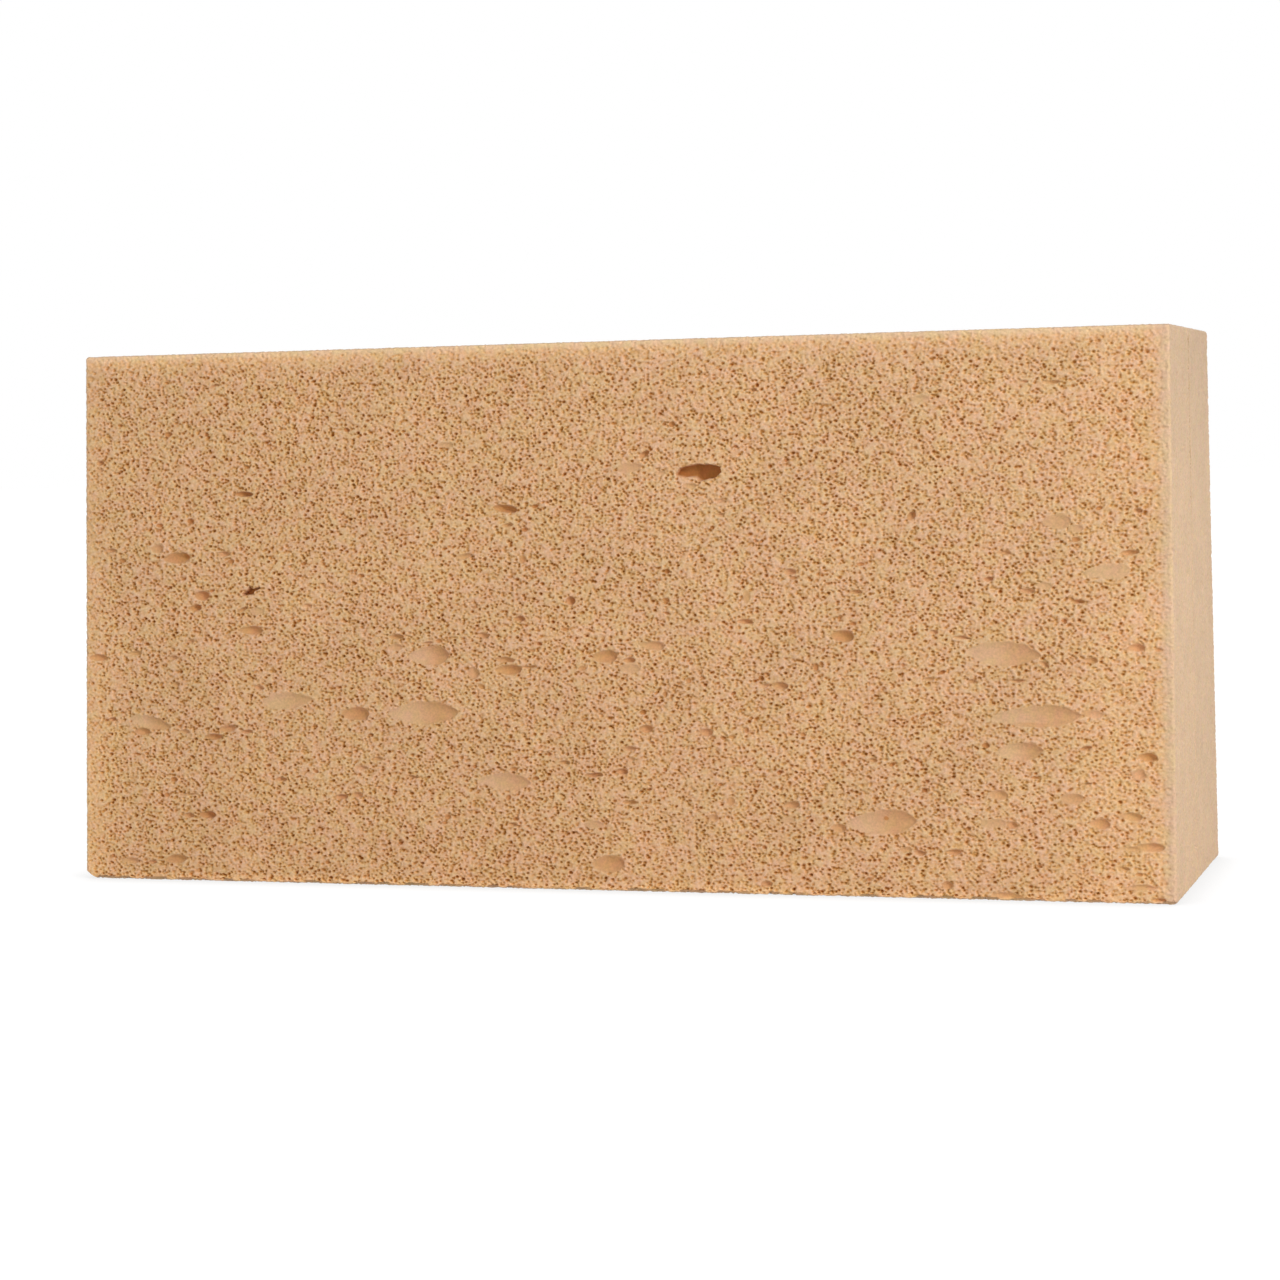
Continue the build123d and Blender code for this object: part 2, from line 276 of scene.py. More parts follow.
# Blow-holes of the rear face, as in the CAD model, with smaller ones scattered between them
REAR_SMALL_HOLES = 70
REAR_HOLES = [
    (-70.0, 62.0, 9.0, 3.4, 1.0, -3, 0.2), (-48.0, 24.0, 12.5, 4.4, 1.1, 3, 0.1),
    (-30.0, 78.0, 5.0, 2.2, 0.9, 0, 0.3), (-8.0, 36.0, 7.5, 3.2, 1.1, 0, 0.3),
    (12.0, 14.0, 10.0, 3.8, 1.0, -2, 0.1), (27.0, 55.0, 5.5, 2.2, 1.0, 4, 0.3),
    (41.0, 29.0, 13.0, 4.2, 1.1, 2, 0.0), (62.0, 70.0, 6.0, 2.6, 1.1, 0, 0.2),
    (70.0, 17.0, 8.0, 3.4, 1.0, 0, 0.2), (84.0, 44.0, 7.0, 3.0, 1.0, 3, 0.2),
    (-20.0, 57.0, 6.5, 2.6, 3.0, 0, 0.0),
]
for _ in range(REAR_SMALL_HOLES):
    REAR_HOLES.append((
        rng.uniform(-97, 97), rng.uniform(3, 94) * rng.uniform(0.5, 1.0), rng.uniform(1.6, 4.2),
        rng.uniform(0.8, 1.5), rng.uniform(0.5, 1.4), rng.uniform(-8, 8), rng.uniform(0, 0.3),
    ))

# Specks scattered over the working face, its smallest blow-holes
SPECKS = 80
for _ in range(SPECKS):
    FRONT_HOLES.append((
        rng.uniform(-97, 94), rng.uniform(2, 93), rng.uniform(0.7, 1.2), rng.uniform(0.55, 0.8),
        rng.uniform(1.0, 1.7), rng.uniform(-20, 20), 0.0,
    ))


def hole_depth(x, z, holes):
    """Lens-shaped blow-holes at x and z of a face: how deep, the painted shade of the skin, and how far
    inside, 0 to 1.
    """
    depth = np.zeros(len(x), np.float32)
    hole_shade = np.zeros(len(x), np.float32)
    inside = np.zeros(len(x), np.float32)
    for x0, z0, length, height, deep, turn, widest in holes:
        reach_x, reach_z = length * 0.6, max(length, height) * 0.6
        near = np.nonzero((abs(x - x0) < reach_x) & (abs(z - z0) < reach_z))[0]
        c, s = math.cos(math.radians(turn)), math.sin(math.radians(turn))
        # u runs along the hole and v across it, each from -1 to 1; run is u counted from the widest place
        u = ((x[near] - x0) * c + (z[near] - z0) * s) / (length / 2)
        v = (-(x[near] - x0) * s + (z[near] - z0) * c) / (height / 2)
        run = (u - widest) / np.where(u > widest, 1 - widest, 1 + widest)
        wide = np.maximum(1 - run**2, 1e-4) ** (0.5 if length < SMALL_HOLE else 0.72)
        bowl = np.where(np.abs(u) < 1, np.maximum(1 - (v / wide) ** 2, 0), 0)
        # Towards the right end the hole is deeper and its skin gets more painted shade, where the key light
        # leaves it dark
        right = rise(u, -1, 1.4)
        if length < DOT:
            shaded_skin = 0.34 * deep * (0.80 + 0.35 * right) * bowl**0.2
            deep *= 0.55
        elif length < SMALL_HOLE:
            shaded_skin = 0.21 * deep * (0.80 + 0.35 * right) * bowl**0.2
        else:
            shaded_skin = 0.17 * deep * rise(u, -0.6, 1.2)
        lens = 0.65 * deep * (0.35 + 0.65 * right) * bowl**0.8 * wide**0.4
        depth[near] = np.maximum(depth[near], lens)
        hole_shade[near] = np.maximum(hole_shade[near], shaded_skin)
        inside[near] = np.maximum(inside[near], rise(bowl * 6, 0, 1))
    return depth, hole_shade, inside


def cleft_depth(x, z, roof, ground, reach):
    """Depth of a steep-walled hole between two lines, and how far inside it a point is, 0 to 1."""
    roof_z = np.interp(x, *zip(*roof))
    ground_z = np.interp(x, *zip(*ground))
    past_an_end = (x < roof[0][0]) | (x > roof[-1][0])
    gap = np.where(past_an_end, -10, np.minimum(roof_z - z, z - ground_z))
    return np.interp(x, *zip(*reach)) * rise(gap, -0.088, 0.22), rise(gap, -0.14, 0.2)


def lean(points):
    """Moves points of the square block to where the saw left them."""
    across = points[:, 0] / LENGTH + 0.5
    back = np.clip((points[:, 1] - FRONT_Y) / (REAR_Y - FRONT_Y), 0, 1)
    up = points[:, 2] / HEIGHT
    right = LEAN_RIGHT_FRONT + (LEAN_RIGHT_REAR - LEAN_RIGHT_FRONT) * back
    moved = points.copy()
    moved[:, 0] += (LEAN_LEFT * (1 - across) - right * across) * (2 * up - 1)
    moved[:, 2] += TOP_FALL * (2 * back - 1) * up
    wide, high = TORN_CORNER
    torn = np.maximum(1 - (points[:, 0] + HALF) / wide - points[:, 2] / high, 0)
    torn *= fade(points[:, 1], FRONT_Y, TORN_BACK)
    moved[:, 0] += torn * wide / 2
    moved[:, 2] += torn * high / 2
    return moved


def fan(ring, centre):
    """Triangles from a ring of points to its centre, wound as the ring is."""
    return np.stack((ring, np.roll(ring, -1), np.full(len(ring), centre)), 1)


def strips(loops):
    """Quads between each loop of points and the next."""
    return np.concatenate([
        np.stack((a, np.roll(a, -1), np.roll(b, -1), b), 1) for a, b in zip(loops, loops[1:])
    ])


def make_mesh(name, points, quads, triangles, uv):
    """A smooth closed mesh, with its points in mm and the bake's map."""
    mesh = bpy.data.meshes.new(name)
    loops = np.concatenate((quads.ravel(), triangles.ravel())).astype(np.int32)
    sizes = np.repeat((4, 3), (len(quads), len(triangles)))
    starts = np.concatenate([[0], np.cumsum(sizes)[:-1]])
    mesh.vertices.add(len(points))
    mesh.vertices.foreach_set("co", (points * MM).astype(np.float32).ravel())
    mesh.loops.add(len(loops))
    mesh.loops.foreach_set("vertex_index", loops)
    mesh.polygons.add(len(sizes))
    mesh.polygons.foreach_set("loop_start", starts.astype(np.int32))
    mesh.update(calc_edges=True)
    mesh.uv_layers.new(name="OFBake").data.foreach_set("uv", uv.astype(np.float32).ravel())
    mesh.validate()
    mesh.shade_smooth()
    piece = bpy.data.objects.new(name, mesh)
    bpy.context.scene.collection.objects.link(piece)
    return piece


def face_painted_light(here):
    """How light the working face is at points: painted highlights along its edges, painted shade at its right
    end.
    """
    x, _, z = here.T
    to_left, to_right, to_top = HALF + x, HALF - x, HEIGHT - z
    right = 0.6 * fade(to_right, 5, 18) + 0.4 * fade(to_right, 0, 4)
    right += 0.9 * fade(to_right, 8, 14) * fade(z, 25, 35)
    left = (0.3 + 1.5 * fade(z, 20, 50)) * fade(to_left, 2, 9)
    top = 0.7 * fade(to_top, 0, 5) + (2.3 - 1.125 * rise(x, -60, 110)) * fade(to_top, 0, 3.2)
    corner = 1.2 * fade(to_left, 0, 7) * fade(z, 0, 14)
    bottom = 3.4 * fade(z, 0, 2.2)
    painted_light = np.maximum(np.maximum(right, left), top)
    painted_light = np.maximum(painted_light + corner, bottom)
    at_end = fade(to_right, 0.8, 2.0)
    return painted_light * (1 - at_end) - 0.2 * at_end


def side_light(here):
    """How light a narrow side is at points: mottled, and darker towards the top."""
    mottle = 0.9 * noise(here + 3.0, 0.45) + 0.5 * noise(here + 7.0, 3.0)
    return mottle + 0.4 - 1.7 * fade(HEIGHT - here[:, 2], 2, 30)


# What colours the foam, point by point: painted shade by how deep in a pore, how far inside a blow-hole, the
# painted shade of that hole's skin, how far round to a narrow side, which is paler with painted sheen, and
# how light, with painted highlights and shade. Each has its value on the hidden glue side.
COLOUR_VALUES = {"shade": 0, "shaded_skin": 0, "hole_shade": 0, "side": 1, "edge": 0}
HOLE_SHIFT = (0.12, -0.15)  # from x and z on the leaning block to those of the lists of holes
SINK = 0.08  # keeps the tops of the pores' walls inside the CAD box


def sawn_surface(here, inward, glue_y, holes, clefts):
    """The sawn foam at points of a slab: how deep it sinks, in mm, then its COLOUR_VALUES. inward is each
    point's direction into the foam."""
    x, y, z = here.T
    to_left, to_right, to_top = HALF + x, HALF - x, HEIGHT - z
    facing = np.abs(inward[:, 1])
    on_face = rise(facing, 0.8, 0.15)

    # Pores: the saw closed them a little along the face's edges, and more on the narrow sides
    wobble = 0.12 * np.stack([noise(here + shift, 1.0) for shift in (11.0, 47.0, 83.0)], 1)
    pits = pore_depth(here + wobble, inward)
    opened = 0.45 + 0.55 * rise(to_left, 0, EDGE_BAND)
    opened *= 0.22 + 0.64 * rise(to_right, 0, EDGE_BAND) + 0.14 * rise(to_right, EDGE_BAND, 40)
    opened *= 0.34 + 0.66 * rise(to_top, 0, EDGE_BAND)
    opened *= 1.01 - 0.05 * x / HALF + 0.30 * fade(z, 0, 2.5)
    opened *= 1 + 0.10 * noise(here, 9.0)
    pits *= opened * on_face + SIDE_PORES * (1 - on_face)
    pits *= 0.35 + 0.65 * rise(np.abs(inward).max(1), 0.72, 0.25)

    # Blow-holes, with edges that waver, and the painted shade on their skin
    leaning = lean(here)
    hole_x, hole_z = leaning[:, 0] + HOLE_SHIFT[0], leaning[:, 2] + HOLE_SHIFT[1]
    waver_x, waver_z = 0.16 * noise(here + 5.0, 1.4), 0.14 * noise(here + 29.0, 1.3)
    sunk, hole_shade, inside = hole_depth(hole_x + waver_x, hole_z + waver_z, holes)
    for *outline, shaded_skin in clefts:
        steep, within = cleft_depth(hole_x, hole_z + 0.12 * noise(here + 61.0, 0.8), *outline)
        sunk = np.maximum(sunk, steep)
        hole_shade = np.maximum(hole_shade, shaded_skin * within)
        inside = np.maximum(inside, within)
    sunk, hole_shade, inside = sunk * on_face, hole_shade * on_face, inside * on_face

    # Nicks where the bottom edge tore, painted darkest as the contact shadow at the floor
    torn = fade(z, 0.25, 0.45) * rise(noise(here * [1, 0, 0] + 17.0, 1.6), -0.2, 0.5) * (facing > 0.3)
    sunk = sunk + 0.5 * torn
    hole_shade = np.maximum(hole_shade, torn)
    inside = np.maximum(inside, torn)

    # All of it together, with a low relief and the adhesive that soaked in towards the top. shade is painted
    # shade: darker the deeper a pore or a hollow of the relief.
    pits *= 1 - inside
    relief = 0.13 * noise(here / STRETCH @ GRID_TURN.T, 0.40)
    soaked = np.exp(-(((y - glue_y) / GLUE_SOAK) ** 2)) * rise(z, 25, 60)
    depth = 0.9 * pits + sunk + 0.6 * relief * (1 - 0.6 * inside) + SINK
    shade = 1.29 * pits + 1.2 * relief + 0.45 * soaked + 0.08
    # side: the narrow sides cut paler, with painted sheen, and a painted sheen band on the rounded right and
    # top edges
    side = np.maximum(1 - facing, fade(np.minimum(to_right - 0.8, (to_top - 0.5) * 1.7), 0, 2.0))
    # edge: painted highlights and shade on the working face, and the narrow sides' mottle, darker towards the
    # top
    square_on = rise(facing, 0, 0.9)
    edge = face_painted_light(here) * square_on + side_light(here) * (1 - square_on)
    return np.stack((depth, shade, inside, hole_shade, side, edge)).astype(np.float32)


def around(nx, nz):
    """The steps (i, k) once round a rectangle of nx by nz steps, anticlockwise as seen from the front."""
    return np.array(
        [(i, 0) for i in range(nx)] + [(nx, k) for k in range(nz)]
        + [(i, nz) for i in range(nx, 0, -1)] + [(0, k) for k in range(nz, 0, -1)]
    )


def point_code(i, j, k, nd, nz):
    """One number for a slab's point i steps along the length, j inwards from the sawn face, and k up."""
    return (i * (nd + 1) + j) * (nz + 1) + k


def slab_sides(nx, nd, nz):
    """The quads of a slab's five open sides, as point codes."""

    def side(rows, columns, place):
        """A side's quads; place turns row and column into i, j and k."""
        r, c = np.meshgrid(np.arange(rows + 1), np.arange(columns + 1), indexing="ij")
        code = point_code(*place(r, c), nd, nz)
        return np.stack((code[:-1, :-1], code[1:, :-1], code[1:, 1:], code[:-1, 1:]), -1).reshape(-1, 4)

    # Seen from outside the front slab, each side winds anticlockwise
    return {
        "face": side(nx, nz, lambda r, c: (r, r * 0, c)),
        "right": side(nd, nz, lambda r, c: (r * 0 + nx, r, c)),
        "left": side(nd, nz, lambda r, c: (r * 0, nd - r, c)),
        "top": side(nx, nd, lambda r, c: (r, c, r * 0 + nz)),
        "bottom": side(nx, nd, lambda r, c: (r, nd - c, r * 0)),
    }


# The bake's map is MAP_SIZE mm square. Each slab's sides lie on it at one scale, with their lower left
# corners at MAP_PLACES, and the hidden glue side lies small beside them.
MAP_SIZE = 214.0
MAP_PLACES = {"face": (4, 3), "right": (4, 169), "left": (108, 169), "top": (4, 103), "bottom": (4, 136)}
HIDDEN_PLACE = (60, 200)
HIDDEN_SCALE = 0.06
FILM_MAP_STEP = 105  # from the film's front to its rear on its own map


def side_map(side, corners):
    """Where the corners of a side's quads lie on the bake's map, from their places in the sharp box."""
    x, depth, z = np.moveaxis(corners, -1, 0)
    if side == "face":
        flat = (x + HALF, z)
    elif side in ("top", "bottom"):
        flat = (x + HALF, depth)
    else:
        flat = (z, depth)
    return np.stack(flat, -1) + MAP_PLACES[side]


def foam_slab(name, outer_y, glue_y, spacing, holes, clefts):
    """A foam slab as a closed mesh, fine-gridded on its five open sides. outer_y is its sawn face."""
    thick = abs(glue_y - outer_y) - GLUE_EDGE
    outward = -1.0 if outer_y < glue_y else 1.0
    nx, nz = round(LENGTH / spacing), round(HEIGHT / spacing)
    nd = round(thick / (spacing * DEPTH_STEP))
    sides = slab_sides(nx, nd, nz)
    codes, quads = np.unique(np.concatenate(list(sides.values())), return_inverse=True)
    quads = quads.reshape(-1, 4)
    i, j, k = codes // ((nz + 1) * (nd + 1)), codes // (nz + 1) % (nd + 1), codes % (nz + 1)

    # The sharp box's points, then its edges rounded; depth runs inwards from the sawn face
    sharp = np.stack((i / nx * LENGTH - HALF, j / nd * thick, k / nz * HEIGHT), 1)
    core = sharp.copy()
    core[:, 0] = np.clip(sharp[:, 0], -HALF + EDGE_RADIUS, HALF - EDGE_RADIUS)
    core[:, 1] = np.maximum(sharp[:, 1], EDGE_RADIUS)
    core[:, 2] = np.clip(sharp[:, 2], EDGE_RADIUS, HEIGHT - EDGE_RADIUS)
    away = sharp - core
    away /= np.linalg.norm(away, axis=1, keepdims=True)
    rest = core + EDGE_RADIUS * away
    rest[:, 1] = outer_y - outward * rest[:, 1]
    inward = -away
    inward[:, 1] *= -outward
    inward = inward.astype(np.float32)

    # The sawn surface, a part at a time
    parts = np.array_split(np.arange(len(rest)), max(1, len(rest) // POINTS_AT_ONCE))
    depth, *values = np.concatenate(
        [sawn_surface(rest[part], inward[part], glue_y, holes, clefts) for part in parts], 1
    )
    points = rest + inward * depth[:, None]

    # Bevel the rim at the glue, run in behind the film's edge, and close the slab with a flat fan
    i, k = around(nx, nz).T
    ring = np.searchsorted(codes, point_code(i, nd, k, nd, nz))
    step_in = inward[ring] * [1, 0, 1]
    middle = np.array((0, glue_y, HEIGHT / 2))
    rings = []
    for inset, short in ((0.3, 0.73), (1.0, 0.0)):
        layer = points[ring] + step_in * GLUE_EDGE * inset
        layer[:, 1] = glue_y + outward * GLUE_EDGE * short
        rings.append(layer)
    layer = middle + INNER_RING * (rest[ring] - middle)
    layer[:, 1] = glue_y
    rings.append(layer)
    loops = [ring] + [len(points) + n * len(ring) + np.arange(len(ring)) for n in range(len(rings))]
    every = np.concatenate((points, *rings, middle[None]))
    all_quads = np.concatenate((quads, strips(loops)[:, ::-1]))
    cap = fan(loops[-1], len(every) - 1)[:, ::-1]

    starts = np.cumsum([len(side) for side in sides.values()])[:-1]
    uv = [side_map(side, sharp[part]) for side, part in zip(sides, np.split(quads, starts))]
    hidden = np.stack((every[:, 0] + HALF, every[:, 2]), 1) * HIDDEN_SCALE + HIDDEN_PLACE
    uv = np.concatenate((*uv, hidden[all_quads[len(quads):]]))
    if outward > 0:
        all_quads, cap, uv = all_quads[:, ::-1], cap[:, ::-1], uv[:, ::-1]
    uv = np.concatenate((uv.reshape(-1, 2), hidden[cap].reshape(-1, 2))) / MAP_SIZE

    piece = make_mesh(name, lean(every), all_quads, cap, uv)
    for (value_name, on_glue_side), value in zip(COLOUR_VALUES.items(), values):
        value = np.append(value, np.full(len(every) - len(value), on_glue_side, np.float32))
        piece.data.attributes.new(value_name, "FLOAT", "POINT").data.foreach_set("value", value)
    return piece


def glue_film(name, low, high):
    """The adhesive between the slabs: a thin sheet whose edge wanders a little behind the sawn sides."""
    inset = low[0] + HALF
    middle_y, half = (low[1] + high[1]) / 2, (high[1] - low[1]) / 2 - FILM_CLEARANCE
    i, k = around(FILM_STEPS_ALONG, FILM_STEPS_UP).T
    x, z = i / FILM_STEPS_ALONG * LENGTH - HALF, k / FILM_STEPS_UP * HEIGHT
    place = np.stack((x, np.zeros(len(x)), z), 1)
    core = place.copy()
    core[:, 0] = np.clip(x, -HALF + EDGE_RADIUS, HALF - EDGE_RADIUS)
    core[:, 2] = np.clip(z, EDGE_RADIUS, HEIGHT - EDGE_RADIUS)
    away = place - core
    away /= np.linalg.norm(away, axis=1, keepdims=True)

    # The film fills the groove best towards the top
    wander = FILM_NEAREST + (inset - FILM_NEAREST) * fade(z, 30, 40) + 0.05 * noise(place, 2.5)
    edge = core + away * (EDGE_RADIUS - wander[:, None])
    layers = []
    for step_in, side in ((0.10, -1), (0.0, -0.5), (0.0, 0.5), (0.10, 1)):
        layer = edge - away * step_in
        layer[:, 1] = middle_y + side * half
        layers.append(layer)
    loops = [n * len(place) + np.arange(len(place)) for n in range(len(layers))]
    quads = strips(loops)[:, ::-1]
    centres = [(0, middle_y - half, HEIGHT / 2), (0, middle_y + half, HEIGHT / 2)]
    points = np.concatenate(layers + [centres])
    caps = np.concatenate((fan(loops[0], len(points) - 2), fan(loops[-1], len(points) - 1)[:, ::-1]))
    flat = np.stack((points[:, 0] + HALF, points[:, 2] + (points[:, 1] > middle_y) * FILM_MAP_STEP), 1)
    uv = np.concatenate((flat[quads].reshape(-1, 2), flat[caps].reshape(-1, 2))) / MAP_SIZE
    return make_mesh(name, lean(points), quads, caps, uv)


front = foam_slab("front_foam", FRONT_Y, film_low[1], FRONT_GRID, FRONT_HOLES, CLEFTS)
rear = foam_slab("rear_foam", REAR_Y, film_high[1], REAR_GRID, REAR_HOLES, [])
film = glue_film("adhesive_film", film_low, film_high)


# ---------------------------------------------------------------- materials
def material(name):
    made = bpy.data.materials.new(name)
    made.use_nodes = True
    return made, made.node_tree, made.node_tree.nodes["Principled BSDF"]


def link(tree, from_socket, to_socket):
    tree.links.new(from_socket, to_socket)


def colour_ramp(tree, value, stops):
    made = tree.nodes.new("ShaderNodeValToRGB")
    link(tree, value, made.inputs["Fac"])
    elements = made.color_ramp.elements
    while len(elements) < len(stops):
        elements.new(0.5)
    for element, (at, colour) in zip(elements, stops):
        element.position = at
        element.color = (*colour, 1)
    return made.outputs["Color"]


def attribute(tree, name):
    made = tree.nodes.new("ShaderNodeAttribute")
    made.attribute_name = name
    return made.outputs["Fac"]


def mix(tree, factor, first, second, kind="MIX"):
    """A colour mix. factor, first and second are sockets or plain values."""
    made = tree.nodes.new("ShaderNodeMix")
    made.data_type = "RGBA"
    made.blend_type = kind
    for socket, value in zip((0, 6, 7), (factor, first, second)):  # a colour mix's factor, A and B
        if isinstance(value, (int, float, tuple)):
            made.inputs[socket].default_value = value
        else:
            link(tree, value, made.inputs[socket])
    return made.outputs[2]


def maths(tree, operation, first, second):
    made = tree.nodes.new("ShaderNodeMath")
    made.operation = operation
    link(tree, first, made.inputs[0])
    link(tree, second, made.inputs[1])
    return made.outputs[0]


def noise_texture(tree, vector, scale, detail):
    made = tree.nodes.new("ShaderNodeTexNoise")
    made.inputs["Scale"].default_value = scale
    made.inputs["Detail"].default_value = detail
    link(tree, vector, made.inputs["Vector"])
    return made.outputs["Fac"]


def spread(tree, value, low, high, start=0.3, end=0.7):
    """A value's range, or the middle of a noise's range, spread over low to high."""
    made = tree.nodes.new("ShaderNodeMapRange")
    made.inputs["From Min"].default_value = start
    made.inputs["From Max"].default_value = end
    made.inputs["To Min"].default_value = low
    made.inputs["To Max"].default_value = high
    link(tree, value, made.inputs["Value"])
    return made.outputs["Result"]


def fine_bump(tree, surface, height, strength, distance):
    made = tree.nodes.new("ShaderNodeBump")
    made.inputs["Strength"].default_value = strength
    made.inputs["Distance"].default_value = distance
    link(tree, height, made.inputs["Height"])
    link(tree, made.outputs["Normal"], surface.inputs["Normal"])


def foam_material():
    """Open-pored foam: pale walls, smooth blow-holes, painted shade in pores and holes, sides cut paler with
    painted sheen.
    """
    made, tree, surface = material("open_foam")
    place = tree.nodes.new("ShaderNodeTexCoord").outputs["Object"]

    # Colours set point by point: pores and blow-hole skin with painted shade, the narrow sides with painted
    # sheen, and painted highlights and shade along the edges
    shaded_walls = colour_ramp(tree, attribute(tree, "shade"), [
        (0.00, (0.773, 0.515, 0.325)),
        (0.14, (0.731, 0.448, 0.246)),
        (0.43, (0.625, 0.338, 0.132)),
        (0.86, (0.555, 0.250, 0.062)),
        (1.00, (0.495, 0.190, 0.034)),
    ])
    shaded_skin = colour_ramp(tree, attribute(tree, "hole_shade"), [
        (0.00, (0.693, 0.435, 0.252)),
        (0.20, (0.622, 0.338, 0.158)),
        (0.40, (0.535, 0.243, 0.084)),
        (0.60, (0.475, 0.196, 0.058)),
        (0.75, (0.450, 0.175, 0.042)),
        (1.00, (0.110, 0.045, 0.018)),
    ])
    colour = mix(tree, attribute(tree, "shaded_skin"), shaded_walls, shaded_skin)
    # Narrow sides paler: partly their cut, partly painted sheen
    colour = mix(tree, attribute(tree, "side"), colour, mix(tree, 0.75, colour, (0.73, 0.525, 0.35, 1)))
    # painted_light: painted highlights and shade that scale the colour
    painted_light = colour_ramp(tree, spread(tree, attribute(tree, "edge"), 0.0, 1.0, -2.0, 4.0), [
        (0.00, (0.88, 0.88, 0.86)),
        (0.333, (1.0, 1.0, 1.0)),
        (1.00, (1.24, 1.235, 1.13)),
    ])
    colour = mix(tree, 1.0, colour, painted_light, "MULTIPLY")

    # A warmer left half, cloudy patches and a fine grain, then small spots of yellower and pinker foam
    along = tree.nodes.new("ShaderNodeSeparateXYZ")
    link(tree, place, along.inputs[0])
    end_to_end = spread(tree, along.outputs["X"], 0.0, 1.0, -0.1, 0.1)
    warmth = colour_ramp(tree, end_to_end, [(0, (1, 0.997, 0.975)), (1, (1, 1, 1))])
    colour = mix(tree, 1.0, colour, warmth, "MULTIPLY")
    grain = noise_texture(tree, place, 2600.0, 2.0)
    clouds = spread(tree, noise_texture(tree, place, 90.0, 3.0), 0.96, 1.03)
    toned = tree.nodes.new("ShaderNodeVectorMath")
    toned.operation = "SCALE"
    link(tree, colour, toned.inputs[0])
    link(tree, maths(tree, "MULTIPLY", clouds, spread(tree, grain, 0.90, 1.10)), toned.inputs["Scale"])
    spots = noise_texture(tree, place, 520.0, 1.0)
    hue = colour_ramp(tree, spots, [(0.32, (0.97, 1.0, 0.90)), (0.68, (1.0, 0.955, 1.0))])
    link(tree, mix(tree, 1.0, toned.outputs["Vector"], hue, "MULTIPLY"), surface.inputs["Base Color"])

    fine_bump(tree, surface, grain, 0.35, 0.00006)
    surface.inputs["Roughness"].default_value = 0.95
    surface.inputs["Specular IOR Level"].default_value = 0.4
    surface.inputs["Sheen Weight"].default_value = 0.30
    surface.inputs["Sheen Roughness"].default_value = 0.4
    return made


def film_material():
    """Brown contact adhesive with paler streaks."""
    made, tree, surface = material("contact_adhesive")
    place = tree.nodes.new("ShaderNodeTexCoord").outputs["Object"]
    streak = noise_texture(tree, place, 350.0, 4.0)
    colour = colour_ramp(tree, streak, [(0.35, (0.40, 0.22, 0.10)), (0.70, (0.56, 0.34, 0.17))])
    link(tree, colour, surface.inputs["Base Color"])
    fine_bump(tree, surface, streak, 0.4, 0.00008)
    surface.inputs["Roughness"].default_value = 0.5
    return made


foam = foam_material()
for piece, node in ((front, "front_foam_slab"), (rear, "rear_foam_slab")):
    piece.data.materials.append(foam)
    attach(piece, "root")
    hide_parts(node)
film.data.materials.append(film_material())
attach(film, "root")
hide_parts("bond_film")


# ---------------------------------------------------------------- stage, light and camera
FLOOR_HALF = 6.0
TOWARDS = (0, 0, 0.05)  # what the lamps point at: the middle of the block
CAMERA_PLACE = (0.16058, -0.53105, 0.07863)
YAW, PITCH, ROLL = 17.002, -3.732, -1.181  # degrees: turned left, looking slightly down, tipped
LENS = 84.47


def seen(tree):
    """1 for the rays of the camera and those in mirrors and glass, and 0 for the light on the object."""
    path = tree.nodes.new("ShaderNodeLightPath").outputs
    mirrored = maths(tree, "MAXIMUM", path["Is Camera Ray"], path["Is Glossy Ray"])
    return maths(tree, "MAXIMUM", mirrored, path["Is Transmission Ray"])


def show_instead(tree, real, shown, output):
    """Output the shader real, but show the camera the shader shown."""
    choose = tree.nodes.new("ShaderNodeMixShader")
    link(tree, seen(tree), choose.inputs["Fac"])
    link(tree, real.outputs[0], choose.inputs[1])
    link(tree, shown.outputs[0], choose.inputs[2])
    link(tree, choose.outputs[0], output.inputs["Surface"])


def sky(tree, colour, strength):
    made = tree.nodes.new("ShaderNodeBackground")
    made.inputs["Color"].default_value = (*colour, 1)
    made.inputs["Strength"].default_value = strength
    return made


world = bpy.data.worlds.new("studio")
bpy.context.scene.world = world
world.use_nodes = True
tree = world.node_tree
tree.nodes.clear()
backdrop = sky(tree, (1, 1, 1), 1.0)
ambient = sky(tree, (1.0, 0.99, 0.97), 0.30)
show_instead(tree, ambient, backdrop, tree.nodes.new("ShaderNodeOutputWorld"))


def floor_material():
    """A pale floor that the camera sees as white, with a soft shadow close round the block's foot."""
    made, tree, surface = material("pale_floor")
    surface.inputs["Base Color"].default_value = (0.80, 0.80, 0.79, 1)
    surface.inputs["Roughness"].default_value = 0.9
    surface.inputs["Specular IOR Level"].default_value = 0.0
    lit = tree.nodes.new("ShaderNodeBsdfDiffuse")
    lit.inputs["Color"].default_value = (0.10, 0.10, 0.10, 1)
    contact = tree.nodes.new("ShaderNodeAmbientOcclusion")
    contact.inputs["Distance"].default_value = 0.008
    glow = tree.nodes.new("ShaderNodeEmission")
    link(tree, spread(tree, contact.outputs["AO"], 0.82, 0.98, 0.5, 1.0), glow.inputs["Strength"])
    white = tree.nodes.new("ShaderNodeAddShader")
    link(tree, lit.outputs[0], white.inputs[0])
    link(tree, glow.outputs[0], white.inputs[1])
    show_instead(tree, surface, white, tree.nodes["Material Output"])
    return made


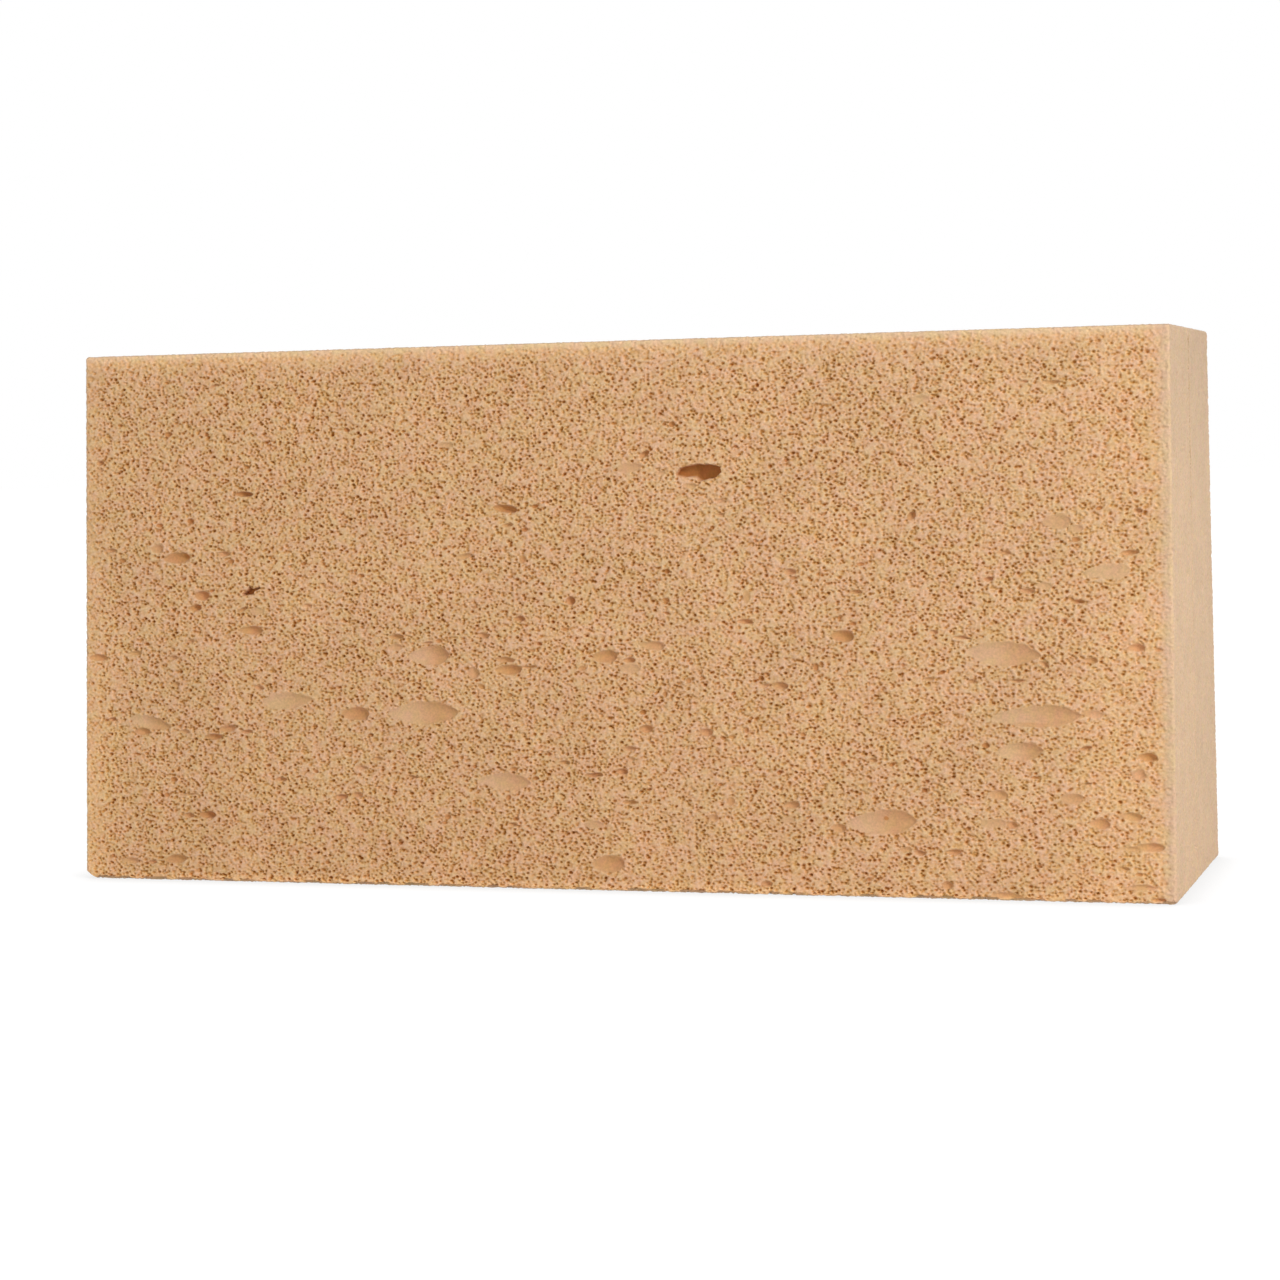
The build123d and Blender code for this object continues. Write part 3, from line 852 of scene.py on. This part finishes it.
floor_mesh = bpy.data.meshes.new("floor")
corners = [(x * FLOOR_HALF, y * FLOOR_HALF, 0) for x, y in ((-1, -1), (1, -1), (1, 1), (-1, 1))]
floor_mesh.from_pydata(corners, [], [(0, 1, 2, 3)])
floor_mesh.materials.append(floor_material())
floor = bpy.data.objects.new("floor", floor_mesh)
bpy.context.scene.collection.objects.link(floor)


def area_light(name, place, size, watts, colour):
    data = bpy.data.lights.new(name, "AREA")
    data.shape = "SQUARE"
    data.size = size
    data.energy = watts
    data.color = colour
    lamp = bpy.data.objects.new(name, data)
    lamp.location = place
    lamp.rotation_mode = "QUATERNION"
    lamp.rotation_quaternion = (Vector(TOWARDS) - Vector(place)).to_track_quat("-Z", "Y")
    bpy.context.scene.collection.objects.link(lamp)


area_light("key", (0.84, -0.58, 0.58), 0.36, 7.85, (1.0, 0.985, 0.98))
area_light("fill", (-0.35, -1.5, 0.5), 1.2, 5.6, (1.0, 0.987, 0.935))
area_light("back", (-0.7, 1.5, 0.7), 1.2, 9.0, (1.0, 0.99, 0.96))

# The camera stands in front, to the right of the middle, and looks slightly down
yaw, pitch, roll = math.radians(YAW), math.radians(PITCH), math.radians(ROLL)
forward = np.array([-math.sin(yaw) * math.cos(pitch), math.cos(yaw) * math.cos(pitch), math.sin(pitch)])
level = np.array([math.cos(yaw), math.sin(yaw), 0.0])
upward = np.cross(level, forward)
right_axis = math.cos(roll) * level + math.sin(roll) * upward
up_axis = -math.sin(roll) * level + math.cos(roll) * upward
camera_data = bpy.data.cameras.new("camera")
camera_data.lens = LENS
camera_data.sensor_width = 36.0
camera_data.sensor_fit = "HORIZONTAL"
camera_data.clip_start = 0.01
camera_data.clip_end = 50.0
camera = bpy.data.objects.new("camera", camera_data)
turn = Matrix((right_axis, up_axis, -forward)).transposed().to_4x4()
camera.matrix_world = Matrix.Translation(CAMERA_PLACE) @ turn
bpy.context.scene.collection.objects.link(camera)
bpy.context.scene.camera = camera
bpy.context.scene.view_settings.view_transform = "Standard"
